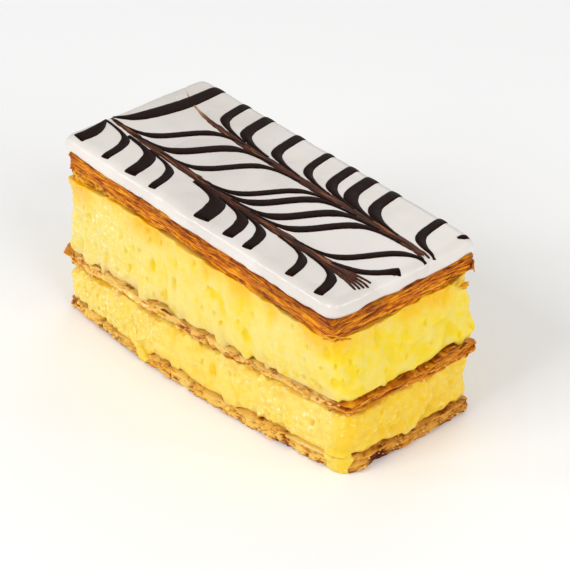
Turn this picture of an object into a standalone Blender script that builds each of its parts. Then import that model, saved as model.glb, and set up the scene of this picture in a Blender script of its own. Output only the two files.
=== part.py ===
"""A slice of mille feuille: three sheets of puff pastry, two layers of custard cream, and a
white icing feathered with chocolate. X runs along the slice, Y across it and Z up, from the
middle of its base. Lengths are written in millimetres and turned to metres as meshes are made."""

import math

import bmesh
import bpy
from mathutils import Vector, noise

MM = 0.001

# Driving sizes of the slice, as cut: its length, its width, and the heights of its top sheet and icing
LENGTH = 110.0
WIDTH = 48.0
TOP_SHEET_Z = 51.0
ICING_Z = 55.6

# Neighbours stand this far apart, and their rims ease away from each other by a little more
GAP = 0.34
EDGE_EASE = 0.38

# The sides are rough only as far in as this, measured from a frame just outside the whole slice
RIM_REACH = 8.0
FRAME_X = LENGTH / 2 + 3.0
FRAME_Y = WIDTH / 2 + 4.0

# How fast the crags and the finer roughness of a level change along a side, in waves per mm
CRAG_PITCH = 0.19
FINE_PITCH = 0.4

# Points along each kind of side, and round each corner, the same on every outline
LONG_POINTS = 30
SHORT_POINTS = 14
ARC_POINTS = 3


def level(height, rise=0.0, rough=0.0, bumps=()):
    """A level between two layers: z = height + rise * x, roughened near the cut sides.

    Each bump is (x, y, reach, lift), on the side of the frame."""
    return dict(height=height, rise=rise, rough=rough, bumps=bumps)


FRONT, END = -FRAME_Y, FRAME_X
LEVELS = {
    "base": level(0.0),
    "bottom_sheet_top": level(
        4.0,
        rise=0.008,
        rough=1.5,
        bumps=[(-28, FRONT, 4.4, -2.0), (36, FRONT, 6, 1.2), (END, -26, 12, 2.0)],
    ),
    "middle_sheet_foot": level(
        17.0,
        rise=0.046,
        rough=1.2,
        bumps=[(-54, FRONT, 10, -1.4), (END, 10, 7, -1.2)],
    ),
    "middle_sheet_top": level(
        20.6,
        rise=0.044,
        rough=1.5,
        bumps=[(-41, FRONT, 3, 1.4), (-12, FRONT, 5, 1.5), (41, FRONT, 4, 1.4)]
        + [(END, 18, 5, 2.8), (END, -14, 4, 1.0)],
    ),
    "top_sheet_foot": level(
        43.6,
        rough=1.2,
        bumps=[(-END, FRONT, 16, -4.2), (-8, FRONT, 8, 1.2), (END, 26, 10, 1.8)],
    ),
    "top_sheet_top": level(TOP_SHEET_Z, rough=0.9, bumps=[(-54, FRONT, 10, 0.8)]),
}


def outline(outsets, radii, bow):
    """A layer seen from above, by how far each corner stands out of the slice as cut, in X and Y.

    The corners are in the order left front, right front, right back, left back. The knife bowed
    the front side outward by bow."""
    signs = [(-1, -1), (1, -1), (1, 1), (-1, 1)]
    corners = [(sx * (LENGTH / 2 + ox), sy * (WIDTH / 2 + oy)) for (sx, sy), (ox, oy) in zip(signs, outsets)]
    return dict(corners=corners, radii=radii, bow=bow)


BOTTOM_SHEET = outline([(0.8, 2.4), (2.2, -3.6), (0.6, 1.2), (1.4, 1.8)], [3, 6, 2, 3], 3.6)
LOWER_CREAM_FOOT = outline([(0.2, 1.8), (1.6, -3.4), (0.0, 0.6), (0.8, 1.0)], [3, 6, 3, 3], 3.2)
LOWER_CREAM_TOP = outline([(0.4, 1.2), (1.4, -3.2), (-0.2, 0.0), (0.4, 0.4)], [2, 5, 3, 3], 2.4)
MIDDLE_SHEET = outline([(1.6, 1.4), (2.2, -3.6), (1.4, 2.2), (1.4, 2.0)], [2, 4, 2, 2], 2.8)
UPPER_CREAM_FOOT = outline([(0.8, 1.0), (1.2, -2.6), (0.2, 1.2), (0.6, 1.0)], [2, 5, 3, 3], 1.8)
UPPER_CREAM_TOP = outline([(0.4, 0.0), (0.2, 0.2), (-0.6, -0.2), (-0.2, 0.0)], [2, 5, 3, 3], 0.4)
TOP_SHEET = outline([(0.5, 0.2), (0.8, 1.2), (0.4, 0.8), (0.5, 1.0)], [1.4, 1.2, 1.4, 1.4], 0.3)
ICING = outline([(2.1, 0.9), (0.9, 1.4), (0.7, 1.5), (2.3, 1.7)], [3, 3.4, 3, 3], 0.2)
INNER = outline([(-5.0, -4.0), (-9.5, -9.5), (-5.0, -4.0), (-5.0, -4.0)], [1, 2, 1, 1], 0.0)

# The outlines that face each other across each level, and how far inside both of them they meet
FACING = {
    "bottom_sheet_top": (BOTTOM_SHEET, LOWER_CREAM_FOOT),
    "middle_sheet_foot": (LOWER_CREAM_TOP, MIDDLE_SHEET),
    "middle_sheet_top": (MIDDLE_SHEET, UPPER_CREAM_FOOT),
    "top_sheet_foot": (UPPER_CREAM_TOP, TOP_SHEET),
    "top_sheet_top": (TOP_SHEET, ICING),
}
FACING_INSET = 2.0

# The icing's edge, from its foot up: how far out of its outline, and the share of its height
ICING_EDGE = [(-0.9, 0.0), (-0.1, 0.28), (-0.2, 0.58), (-0.9, 0.84), (-2.6, 1.0)]
ICING_ROUNDING = 2.6
ICING_DROP = 0.75

# Chocolate was piped across the wet icing in straight lines, (x at the far edge, x at the middle,
# x at the near edge, breadth), and drawn out along two strokes of a skewer, the spines
PIPED_LINES = [
    (-36.2, -37.0, -39.8, 2.5),
    (-26.6, -26.4, -28.2, 3.4),
    (-13.4, -13.4, -18.8, 2.5),
    (-1.2, 3.6, 2.2, 2.4),
    (8.4, 8.8, 12.9, 2.8),
    (16.0, 17.8, 20.6, 3.3),
    (25.4, 25.7, 37.3, 2.8),
    (43.2, 43.8, 48.6, 2.6),
]
# The first line lies where the far spine is only starting, and the last ends short of it
FIRST_LINE = dict(far_x=-48.4, middle_x=-49.0, near_x=-52.8, breadth=3.7)
LAST_LINE = dict(x_middle=54.0, breadth=2.6, highest_y=0.8)
CORNER_DAB = [(53.2, 24.6, 2.0), (53.1, 22.4, 1.9), (52.9, 20.6, 0.8)]
FAR_SPINE_X = (-40.0, 54.0)
NEAR_SPINE_X = (-55.0, 54.0)
FAR_SPINE_BREADTH = 2.6
NEAR_SPINE_BREADTH = 2.8
FAR_EDGE_Y = 25.2
NEAR_EDGE_Y = -23.7
CHOCOLATE_REACH_X = 55.3

# The skewer drags a line along by this much over its distance from the spine, and no closer
SKEWER_PULL = 14.5
CLOSEST = 1.25
FAR_SLANT = 0.16
MIDDLE_SLANT = 0.3
NEAR_SLANT = 0.05
NEAR_WIDENING = 1.08

# Chocolate stands proud of the icing and is rooted in it. Each piece is a step higher and deeper
# than the last, so that no two share a plane
CHOCOLATE_RISE = 0.45
CHOCOLATE_ROOT = 0.5
CHOCOLATE_CROWN = 0.76
PLANE_STEP = 0.004


def clear_scene():
    for obj in list(bpy.data.objects):
        bpy.data.objects.remove(obj)


def material(name, colour, roughness):
    made = bpy.data.materials.new(name)
    made.use_nodes = True
    shader = made.node_tree.nodes["Principled BSDF"]
    shader.inputs["Base Color"].default_value = (*colour, 1.0)
    shader.inputs["Roughness"].default_value = roughness
    shader.inputs["Metallic"].default_value = 0.0
    return made


def mesh_object(name, bm):
    bmesh.ops.recalc_face_normals(bm, faces=bm.faces)
    mesh = bpy.data.meshes.new(name)
    bm.to_mesh(mesh)
    bm.free()
    return bpy.data.objects.new(name, mesh)


def mixed(a, b, share):
    return a + (b - a) * share


def noise_at(place, pitch, seed):
    return noise.noise(Vector((place.x * pitch, place.y * pitch, seed)))


# Outlines and levels


def rim_of(facts):
    """Points round an outline, with round corners. Every rim has the same count and order."""
    points, radii = [Vector(c) for c in facts["corners"]], facts["radii"]
    rim = []
    for k in range(4):
        here, following, beyond = points[k], points[(k + 1) % 4], points[(k + 2) % 4]
        radius = radii[(k + 1) % 4]
        along, turned = (following - here).normalized(), (beyond - following).normalized()
        start, end, leave = here + along * radii[k], following - along * radius, following + turned * radius
        bow = Vector((along.y, -along.x)) * (facts["bow"] if k == 0 else 0.0)
        count = LONG_POINTS if k % 2 == 0 else SHORT_POINTS
        for i in range(count):
            t = i / count
            rim.append(start.lerp(end, t) + bow * 4 * t * (1 - t))
        for i in range(ARC_POINTS):
            t = i / ARC_POINTS
            rim.append(end.lerp(following, t).lerp(following.lerp(leave, t), t))
    return rim


def facing_outline(level_name):
    """The outline that two facing layers share, a little inside both."""
    one, other = FACING[level_name]
    corners = []
    for a, b in zip(one["corners"], other["corners"]):
        x, y = (math.copysign(min(abs(a[k]), abs(b[k])) - FACING_INSET, a[k]) for k in range(2))
        corners.append((x, y))
    radii = [max(a, b) for a, b in zip(one["radii"], other["radii"])]
    return dict(corners=corners, radii=radii, bow=min(one["bow"], other["bow"]))


def outward_of(rim):
    """The unit vector that points out of the outline at each of its points."""
    found = []
    for i in range(len(rim)):
        along = rim[(i + 1) % len(rim)] - rim[i - 1]
        found.append(Vector((along.y, -along.x)).normalized())
    return found


def edge_place(point):
    """The place on the frame beside a point of a cut side, so that a whole wall reads one value."""
    inside_x, inside_y = FRAME_X - abs(point.x), FRAME_Y - abs(point.y)
    nearest, corner_blend = min(inside_x, inside_y), 3.0
    x = point.x + math.copysign(inside_x * math.exp(-(inside_x - nearest) / corner_blend), point.x)
    y = point.y + math.copysign(inside_y * math.exp(-(inside_y - nearest) / corner_blend), point.y)
    return Vector((x, y, 0.0))


def level_z(level_name, point):
    """Height of a level at a point: its plane, with crags and larger flakes near the cut sides."""
    facts = LEVELS[level_name]
    plane = facts["height"] + facts["rise"] * point.x
    inside = min(FRAME_X - abs(point.x), FRAME_Y - abs(point.y))
    share = 1.0 - min(max(inside / RIM_REACH, 0.0), 1.0)
    if share == 0.0 or facts["rough"] == 0.0:
        return plane
    place = edge_place(point)
    seed = 7.0 * list(LEVELS).index(level_name)
    crag, fine = noise_at(place, CRAG_PITCH, seed), noise_at(place, FINE_PITCH, seed + 3.0)
    departure = facts["rough"] * (0.9 * crag + 0.35 * fine)
    for x, y, reach, lift in facts["bumps"]:
        away = math.hypot(place.x - x, place.y - y)
        departure += lift * math.exp(-((away / reach) ** 2))
    return plane + departure * min(share * 1.4, 1.0)


# Relief of the cut sides


def flake_relief(seed, depth):
    """Thin leaves of pastry: each row of the wall steps in or out, and breaks along its length."""

    def relief(point, row, share):
        place = edge_place(point)
        leaf = 0.5 if row % 2 else -0.5
        broken = noise_at(place, 0.16, seed + row * 1.7)
        crumb = noise_at(place, 0.6, seed + row * 2.9)
        return depth * (leaf + 0.9 * broken + 0.8 * crumb)

    return relief


def cream_relief(seed, depth, bulge):
    """Soft cream: it bulges a little at mid height, and the knife left dents and vertical drags."""

    def relief(point, row, share):
        place = edge_place(point)
        swell = noise_at(place, 0.09, seed + share)
        drag = noise_at(place, 0.42, seed + 5.0 + share * 0.6)
        return bulge * math.sin(math.pi * share) + depth * (0.9 * swell + 0.6 * drag)

    return relief


# Layers


def wall_rings(foot, top, levels, rows, relief):
    """Rings of points up the side of a layer, from its foot to its top."""
    out_foot, out_top = outward_of(foot), outward_of(top)
    rise_from_foot = 0.0 if levels[0] == "base" else GAP / 2 + EDGE_EASE
    rings = []
    for row in range(rows + 1):
        share = row / rows
        ring = []
        for i in range(len(foot)):
            point = foot[i].lerp(top[i], share)
            point = point + out_foot[i].lerp(out_top[i], share) * relief(point, row, share)
            low = level_z(levels[0], point) + rise_from_foot
            high = level_z(levels[1], point) - GAP / 2 - EDGE_EASE
            ring.append((point.x, point.y, mixed(low, high, share)))
        rings.append(ring)
    return rings


def cap_rings(level_name, offset):
    """The two rings of a cap that faces another: inside both rims, and where it turns flat."""
    facts = LEVELS[level_name]
    outer = [(p.x, p.y, level_z(level_name, p) + offset) for p in rim_of(facing_outline(level_name))]
    inner = [(p.x, p.y, facts["height"] + facts["rise"] * p.x + offset) for p in rim_of(INNER)]
    return [outer, inner]


def solid_from_rings(name, rings, look, first_is_cap):
    """Closes a stack of rings into one solid, with a flat cap at each end.

    The triangles of a lower cap slant the other way, so they lie parallel to the cap they face."""
    bm = bmesh.new()
    loops = [[bm.verts.new(Vector(p) * MM) for p in ring] for ring in rings]
    count = len(rings[0])
    for band, (lower, upper) in enumerate(zip(loops, loops[1:])):
        for i in range(count):
            j = (i + 1) % count
            if band == 0 and first_is_cap:
                bm.faces.new((lower[i], lower[j], upper[i]))
                bm.faces.new((lower[j], upper[j], upper[i]))
            else:
                bm.faces.new((lower[i], lower[j], upper[j]))
                bm.faces.new((lower[i], upper[j], upper[i]))
    bm.faces.new(list(reversed(loops[0])))
    bm.faces.new(loops[-1])
    obj = mesh_object(name, bm)
    obj.data.materials.append(look)
    bpy.context.scene.collection.objects.link(obj)
    return obj


def layer(name, outlines, levels, rows, relief, look):
    """One sheet of pastry or layer of cream, between two levels."""
    has_facing_foot = levels[0] != "base"
    below = cap_rings(levels[0], GAP / 2)[::-1] if has_facing_foot else []
    walls = wall_rings(rim_of(outlines[0]), rim_of(outlines[1]), levels, rows, relief)
    above = cap_rings(levels[1], -GAP / 2)
    return solid_from_rings(name, below + walls + above, look, has_facing_foot)


def icing_slab(look):
    """The poured icing: its edge swells over the pastry and rounds into a flat top."""
    rim = rim_of(ICING)
    outward = outward_of(rim)
    rings = cap_rings("top_sheet_top", GAP / 2)[::-1]
    for out, share in ICING_EDGE:
        ring = []
        for place, away in zip(rim, outward):
            point = place + away * (out + 0.25 * noise_at(place, 0.07, 91.0))
            low = level_z("top_sheet_top", point) + GAP / 2 + EDGE_EASE
            ring.append((point.x, point.y, mixed(low, ICING_Z, share)))
        rings.append(ring)
    return solid_from_rings("icing", rings, look, True)


# Chocolate on the icing


def near_spine_y(x):
    return -12.0 - 0.033 * x + 0.00034 * x * x


def far_spine_y(x):
    return 8.7 + 8.0 * math.exp(-(x + 54.0) / 12.0)


def icing_surface_z(x, y):
    """Height of the icing under the chocolate, which falls off where its edges round over."""
    past_y = abs(y) - (FAR_EDGE_Y + 0.2 - ICING_ROUNDING)
    past_x = abs(x) - (CHOCOLATE_REACH_X + 0.9 - ICING_ROUNDING)
    share = min(max(past_y, past_x, 0.0) / ICING_ROUNDING, 1.0)
    return ICING_Z - ICING_DROP * share**2


def bar(name, sections):
    """A closed bar through four-cornered sections."""
    bm = bmesh.new()
    loops = [[bm.verts.new(Vector(corner) * MM) for corner in section] for section in sections]
    for before, after in zip(loops, loops[1:]):
        for i in range(4):
            j = (i + 1) % 4
            bm.faces.new((before[i], before[j], after[j], after[i]))
    bm.faces.new(list(reversed(loops[0])))
    bm.faces.new(loops[-1])
    return mesh_object(name, bm)


def kept_on_icing(stations):
    """Ends a line of chocolate where it would leave the icing at either end of the slice."""
    kept = [stations[0]]
    for before, after in zip(stations, stations[1:]):
        if abs(after[0]) > CHOCOLATE_REACH_X:
            share = (CHOCOLATE_REACH_X - abs(before[0])) / (abs(after[0]) - abs(before[0]))
            kept.append(tuple(mixed(a, b, share) for a, b in zip(before, after)))
            break
        kept.append(after)
    return kept


def strip(name, stations, lift):
    """A low strip of chocolate through stations (x, y, breadth), rooted in the icing."""
    sections = []
    for x, y, breadth in kept_on_icing(stations):
        surface, half = icing_surface_z(x, y), breadth / 2
        low, high = surface - CHOCOLATE_ROOT - lift, surface + CHOCOLATE_RISE + lift
        crown = half * CHOCOLATE_CROWN
        sections.append([(x - half, y, low), (x + half, y, low), (x + crown, y, high), (x - crown, y, high)])
    return bar(name, sections)


def spine(name, spine_y, ends_x, breadth, lift):
    """The drawn-out line that a skewer left, tapering at both ends."""
    steps = 14
    sections = []
    for i in range(steps + 1):
        share = i / steps
        x = mixed(*ends_x, share)
        y = spine_y(x)
        half = breadth / 2 * (0.35 + 0.65 * math.sin(math.pi * share) ** 0.5)
        crown = half * CHOCOLATE_CROWN
        low, high = ICING_Z - CHOCOLATE_ROOT - lift, ICING_Z + CHOCOLATE_RISE * 0.7 + lift
        sections.append([(x, y - half, low), (x, y + half, low), (x, y + crown, high), (x, y - crown, high)])
    return bar(name, sections)


def eased(start, end, count):
    """Values from start to end that crowd together towards the end."""
    return [mixed(start, end, math.sin(math.pi / 2 * i / (count - 1)) ** 1.3) for i in range(count)]


def far_hook(x_edge, breadth):
    """A line from the far edge to the far spine, which dragged it towards +X."""
    spine_at = far_spine_y(x_edge)
    reach = FAR_EDGE_Y - spine_at
    stations = []
    for away in eased(reach, CLOSEST, 8):
        drawn = SKEWER_PULL * (1 / away - 1 / reach)
        stations.append((x_edge + FAR_SLANT * (reach - away) + drawn, spine_at + away, breadth))
    return stations


def near_hook(x_edge, breadth):
    """A line from the near edge to the near spine, which dragged it towards -X."""
    spine_at = near_spine_y(x_edge)
    reach = spine_at - NEAR_EDGE_Y
    stations = []
    for away in eased(reach, CLOSEST, 8):
        drawn = SKEWER_PULL * (1 / away - 1 / reach)
        x = x_edge - NEAR_SLANT * (reach - away) - drawn
        stations.append((x, spine_at - away, breadth * NEAR_WIDENING))
    return stations


def middle_runs(x_middle, breadth, highest_y=None):
    """A line between the spines, as one run up to the far spine and one down to the near spine."""
    far, near = far_spine_y(x_middle), near_spine_y(x_middle)
    top = far - CLOSEST if highest_y is None else highest_y
    overlap = 0.05
    runs = []
    for start, end in ((-overlap, top), (overlap, near + CLOSEST)):
        stations = []
        for y in eased(start, end, 6):
            drawn = SKEWER_PULL * (1 / (far - y) - 1 / far - 1 / (y - near) - 1 / near)
            stations.append((x_middle + MIDDLE_SLANT * y + drawn, y, breadth))
        runs.append(stations)
    return runs


def first_line_runs():
    """The first line: straight from the far edge past the far spine, then drawn to the near one."""
    far_x, middle_x, breadth = (FIRST_LINE[key] for key in ("far_x", "middle_x", "breadth"))
    straight = [(middle_x + 0.9, -0.1, breadth), (far_x, FAR_EDGE_Y, breadth)]
    return [straight, middle_runs(middle_x, breadth)[1], near_hook(FIRST_LINE["near_x"], breadth)]


def chocolate_pieces():
    runs = []
    for x_far, x_middle, x_near, breadth in PIPED_LINES:
        runs += [far_hook(x_far, breadth), *middle_runs(x_middle, breadth), near_hook(x_near, breadth)]
    runs += middle_runs(**LAST_LINE)
    runs += first_line_runs() + [CORNER_DAB]
    pieces = [strip("chocolate_line", stations, PLANE_STEP * i) for i, stations in enumerate(runs)]
    step = PLANE_STEP / 2
    pieces.append(spine("near_spine", near_spine_y, NEAR_SPINE_X, NEAR_SPINE_BREADTH, step))
    pieces.append(spine("far_spine", far_spine_y, FAR_SPINE_X, FAR_SPINE_BREADTH, step * 3))
    return pieces


def fuse_onto(base, pieces):
    """Joins the pieces to the base with one Boolean union, and removes them."""
    group = bpy.data.collections.new("fused")
    bpy.context.scene.collection.children.link(group)
    for piece in pieces:
        group.objects.link(piece)
    union = base.modifiers.new("union", "BOOLEAN")
    union.operation = "UNION"
    union.operand_type = "COLLECTION"
    union.collection = group
    union.solver = "MANIFOLD"
    graph = bpy.context.evaluated_depsgraph_get()
    fused = bpy.data.meshes.new_from_object(base.evaluated_get(graph))
    base.modifiers.clear()
    base.data = fused
    for piece in pieces:
        bpy.data.objects.remove(piece)
    bpy.data.collections.remove(group)


def stand_on_origin():
    """Moves the meshes so that the origin lies under the middle of the whole slice."""
    meshes = [obj.data for obj in bpy.data.objects]
    places = [vertex.co for mesh in meshes for vertex in mesh.vertices]
    shift = Vector((0.0, 0.0, 0.0))
    for k in range(2):
        shift[k] = -(min(p[k] for p in places) + max(p[k] for p in places)) / 2
    for mesh in meshes:
        for vertex in mesh.vertices:
            vertex.co += shift


def build():
    clear_scene()
    crust = material("crust", (0.72, 0.36, 0.08), 0.6)
    cream = material("cream", (0.95, 0.78, 0.28), 0.35)
    sugar = material("sugar", (0.9, 0.88, 0.85), 0.25)
    bottom_levels = ("base", "bottom_sheet_top")
    lower_levels = ("bottom_sheet_top", "middle_sheet_foot")
    middle_levels = ("middle_sheet_foot", "middle_sheet_top")
    upper_levels = ("middle_sheet_top", "top_sheet_foot")
    top_levels = ("top_sheet_foot", "top_sheet_top")
    lower_cream, upper_cream = (LOWER_CREAM_FOOT, LOWER_CREAM_TOP), (UPPER_CREAM_FOOT, UPPER_CREAM_TOP)
    layer("pastry_bottom", (BOTTOM_SHEET, BOTTOM_SHEET), bottom_levels, 3, flake_relief(11.0, 0.55), crust)
    layer("cream_lower", lower_cream, lower_levels, 4, cream_relief(23.0, 0.8, 0.4), cream)
    layer("pastry_middle", (MIDDLE_SHEET, MIDDLE_SHEET), middle_levels, 3, flake_relief(37.0, 0.6), crust)
    layer("cream_upper", upper_cream, upper_levels, 5, cream_relief(53.0, 0.8, 0.2), cream)
    layer("pastry_top", (TOP_SHEET, TOP_SHEET), top_levels, 6, flake_relief(71.0, 0.4), crust)
    fuse_onto(icing_slab(sugar), chocolate_pieces())
    stand_on_origin()


build()
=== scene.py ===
import math
import random

import bmesh
import bpy
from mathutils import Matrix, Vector, kdtree, noise
from mathutils.bvhtree import BVHTree


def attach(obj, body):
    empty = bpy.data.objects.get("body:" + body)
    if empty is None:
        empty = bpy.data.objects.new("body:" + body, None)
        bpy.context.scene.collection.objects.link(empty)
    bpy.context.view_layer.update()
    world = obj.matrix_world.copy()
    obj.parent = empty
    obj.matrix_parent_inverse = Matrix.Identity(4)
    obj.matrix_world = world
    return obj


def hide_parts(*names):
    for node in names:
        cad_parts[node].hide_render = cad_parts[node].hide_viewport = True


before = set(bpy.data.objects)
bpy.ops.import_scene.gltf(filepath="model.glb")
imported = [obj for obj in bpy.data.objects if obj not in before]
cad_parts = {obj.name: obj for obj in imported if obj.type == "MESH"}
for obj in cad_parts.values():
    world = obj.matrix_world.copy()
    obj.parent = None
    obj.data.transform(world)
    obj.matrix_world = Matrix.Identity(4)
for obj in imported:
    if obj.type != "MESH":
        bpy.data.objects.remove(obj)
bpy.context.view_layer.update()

# Bottom sheet of puff pastry: butter and dough folded into leaves and baked till golden, crumbly
# along the knife's cut and darkest underneath. It lies flat and carries the whole slice.
BOTTOM_DIVISIONS = 7
BOTTOM_LEAF = 0.95
# Lengths are in mm, and a mesh takes them times MM
MM = 0.001
TOLERANCE = 0.01
# The plain middle of a layer's caps, and the inner block from which outward is told
INNER_X, INNER_NEAR_Y, INNER_FAR_Y = 50.4, -19.8, 20.8
CORE_X, CORE_Y = 49, 18
# How far from that plain middle the relief of a cut side is full
SIDE_EASE = 2.0
# The near right corner, which custard hides, and the hollow under the right end, which painted shade
# darkens
CORNER_X, CORNER_Y = 55.0, -24.0
HOLLOW_Y, HOLLOW_Z = -8.0, 1.6
# Scorched brown, which also lays painted shade into the crust
SCORCHED_AND_SHADED = (112, 52, 6)
# The colour of painted glints on the pastry
PAINTED_GLINT = (255, 206, 84)
SMEARED_CUSTARD = (238, 200, 98)


def shade(red, green, blue):
    """A colour as it looks on a screen, 0 to 255, as the linear values that a node takes."""
    linear = []
    for part in (red, green, blue):
        share = part / 255
        linear.append(share / 12.92 if share <= 0.04045 else ((share + 0.055) / 1.055) ** 2.4)
    return (*linear, 1.0)


def eased_share(value, low, high):
    """0 below low and 1 above high, with a soft turn at both."""
    share = min(max((value - low) / (high - low), 0.0), 1.0)
    return share * share * (3 - 2 * share)


def wave(x, y, z):
    """Smooth noise between about -1 and 1."""
    return noise.noise(Vector((x, y, z)))


def wave_at(point, scale, rest):
    """The same, with this many waves to the mm along and across the slice."""
    return wave(point.x * scale, point.y * scale, rest)


def hill(first, second=0.0):
    """1 where both values are 0, falling smoothly to near 0 once either passes 2."""
    return math.exp(-(first**2 + second**2))


def cell_depth(x, y, z):
    """Distance to the middle of the nearest cell, and a number that is that cell's own."""
    distances, middles = noise.voronoi(Vector((x, y, z)))
    middle = middles[0]
    own = math.sin(middle.x * 12.9 + middle.y * 78.2 + middle.z * 37.7) * 43758.5
    return distances[0], own - math.floor(own)


def is_inner(vert):
    """True for the plain middle of a layer's caps, well inside its cut sides."""
    return abs(vert.co.x) < INNER_X * MM and INNER_NEAR_Y * MM < vert.co.y < INNER_FAR_Y * MM


def merged_copy(node_name):
    """A CAD node's mesh as a bmesh, its loose triangles joined."""
    bm = bmesh.new()
    bm.from_mesh(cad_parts[node_name].data)
    bmesh.ops.remove_doubles(bm, verts=bm.verts, dist=TOLERANCE * MM)
    return bm


def layer_copy(node_name, divisions):
    """A copy of a CAD layer with its cut sides divided finely. Also gives its still points."""
    bm = merged_copy(node_name)
    base = [f for f in bm.faces if max(v.co.z for v in f.verts) < TOLERANCE * MM]
    if base:
        bmesh.ops.dissolve_faces(bm, faces=base)
    sides = set()
    for face in bm.faces:
        if len(face.verts) == 3 and not any(is_inner(v) for v in face.verts):
            sides.update(face.edges)
    bmesh.ops.subdivide_edges(bm, edges=list(sides), cuts=divisions, use_grid_fill=True)
    still = {v for f in bm.faces if any(is_inner(v) for v in f.verts) for v in f.verts}
    return bm, still


def relax(bm, still, rounds):
    """Softens the facets of the cut sides."""
    soft = [v for v in bm.verts if v not in still]
    for _ in range(rounds):
        bmesh.ops.smooth_vert(
            bm, verts=soft, factor=0.5, use_axis_x=True, use_axis_y=True, use_axis_z=True
        )


def outward_at(point):
    """The level direction that points out of the slice's nearest side."""
    core_x = min(max(point.x, -CORE_X), CORE_X)
    core_y = min(max(point.y, -CORE_Y), CORE_Y)
    away = Vector((point.x - core_x, point.y - core_y, 0))
    return away.normalized() if away.length > 0 else Vector((0, 0, 0))


def shape_sides(bm, still, marks, shaper):
    """Moves each point of the cut sides outward and up as shaper says, and keeps its marks."""
    tree = kdtree.KDTree(len(still))
    for i, vert in enumerate(still):
        tree.insert(vert.co, i)
    tree.balance()
    layers = [bm.verts.layers.float.new(title) for title in marks]
    for vert in bm.verts:
        point = vert.co / MM
        amount, lift, *values = shaper(point)
        if vert not in still:
            reach = eased_share(tree.find(vert.co)[2] / MM, 0.0, SIDE_EASE)
            vert.co += outward_at(point) * (amount * reach * MM)
            vert.co.z = max(vert.co.z + lift * reach * MM, 0.0)
        for layer, value in zip(layers, values):
            vert[layer] = value


def leafy(point, leaf, seed):
    """How far a cut through folded leaves stands out: each breaks at its own depth."""
    bend = 1.1 * wave_at(point, 0.05, seed) + 0.3 * wave_at(point, 0.3, seed)
    rise = (point.z + bend) / leaf
    below = math.floor(rise)
    inside = min(rise - below, below + 1 - rise)
    step = wave_at(point, 0.13, below * 3.7 + seed)
    broken = wave_at(point, 0.45, below * 5.3 + seed)
    chip = wave_at(point, 1.5, below * 2.1 + seed)
    return 0.75 * step + 0.5 * broken + 0.2 * chip - 0.6 * (1 - eased_share(inside, 0.0, 0.3))


def crumbly(point, seed):
    """How far broken crumbs stand out: clumps, and finer crumbs on them."""
    bend = 0.8 * wave_at(point, 0.4, point.z * 0.4 + seed)
    clump, own = cell_depth(point.x * 0.36 + bend + seed, point.y * 0.36, point.z * 0.55 + bend)
    crumb, own_crumb = cell_depth(point.x * 1.0 + seed, point.y * 1.0, point.z * 1.2)
    return 1.5 * (0.45 - clump) + 0.8 * (0.45 - crumb) + 0.9 * (own - 0.5) + 0.5 * (own_crumb - 0.5)


def in_scene(name, data):
    """An object with this data, linked to the scene."""
    made = bpy.data.objects.new(name, data)
    bpy.context.scene.collection.objects.link(made)
    return made


def finished(name, bm, material, slot, *nodes, smooth=True):
    """Makes the piece, has it ride on the root, and hides the CAD nodes that it stands for."""
    for face in bm.faces:
        face.smooth = smooth
    mesh = bpy.data.meshes.new(name)
    bm.to_mesh(mesh)
    bm.free()
    mesh.materials.append(material)
    piece = in_scene(name, mesh)
    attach(piece, "root")
    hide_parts(*nodes)
    return piece


def add(tree, kind, inputs=None, **settings):
    """Adds a shader node. An input is given as a value, or as the socket that feeds it."""
    made = tree.nodes.new(kind)
    for name, value in settings.items():
        setattr(made, name, value)
    for name, value in (inputs or {}).items():
        if isinstance(value, bpy.types.NodeSocket):
            tree.links.new(value, made.inputs[name])
        else:
            made.inputs[name].default_value = value
    return made


def blend_colours(tree, share, first, second, way="MIX"):
    """The first colour where share is 0, and the second laid over it where share is 1."""
    inputs = {0: share, 6: first, 7: second}
    return add(tree, "ShaderNodeMix", inputs, data_type="RGBA", blend_type=way).outputs[2]


def number(tree, way, first, second=0.0):
    """One sum, such as ADD or MULTIPLY, over the surface."""
    return add(tree, "ShaderNodeMath", {0: first, 1: second}, operation=way).outputs[0]


def times(tree, first, second):
    """One value multiplied by another."""
    return number(tree, "MULTIPLY", first, second)


def total(tree, *values):
    """Several values added up."""
    result = values[0]
    for value in values[1:]:
        result = number(tree, "ADD", result, value)
    return result


def spread(tree, value, low, high, start=0.0, end=1.0):
    """Turns the range low to high into start to end, softly."""
    inputs = {"Value": value, "From Min": low, "From Max": high, "To Min": start, "To Max": end}
    return add(tree, "ShaderNodeMapRange", inputs, interpolation_type="SMOOTHSTEP").outputs[0]


def grain(tree, place, scale, detail=3.0, stretch=(1, 1, 1)):
    """Noise over the object's own coordinates, with scale in waves per metre."""
    mapped = add(tree, "ShaderNodeMapping", {"Vector": place, "Scale": stretch}).outputs[0]
    inputs = {"Vector": mapped, "Scale": scale, "Detail": detail, "Roughness": 0.6}
    return add(tree, "ShaderNodeTexNoise", inputs).outputs[0]


def new_group(name, inputs, outputs):
    """A shader node group with sockets of the kinds given, what comes in and what goes out."""
    group = bpy.data.node_groups.new(name, "ShaderNodeTree")
    kinds = {"number": "NodeSocketFloat", "colour": "NodeSocketColor"}
    for way, sockets in (("INPUT", inputs), ("OUTPUT", outputs)):
        for title, kind in sockets.items():
            group.interface.new_socket(title, in_out=way, socket_type=kinds[kind])
    given = group.nodes.new("NodeGroupInput").outputs
    return group, given, group.nodes.new("NodeGroupOutput").inputs


FINISH_OUTPUTS = {"Colour": "colour", "Roughness": "number", "Coat": "number", "Height": "number"}


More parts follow.
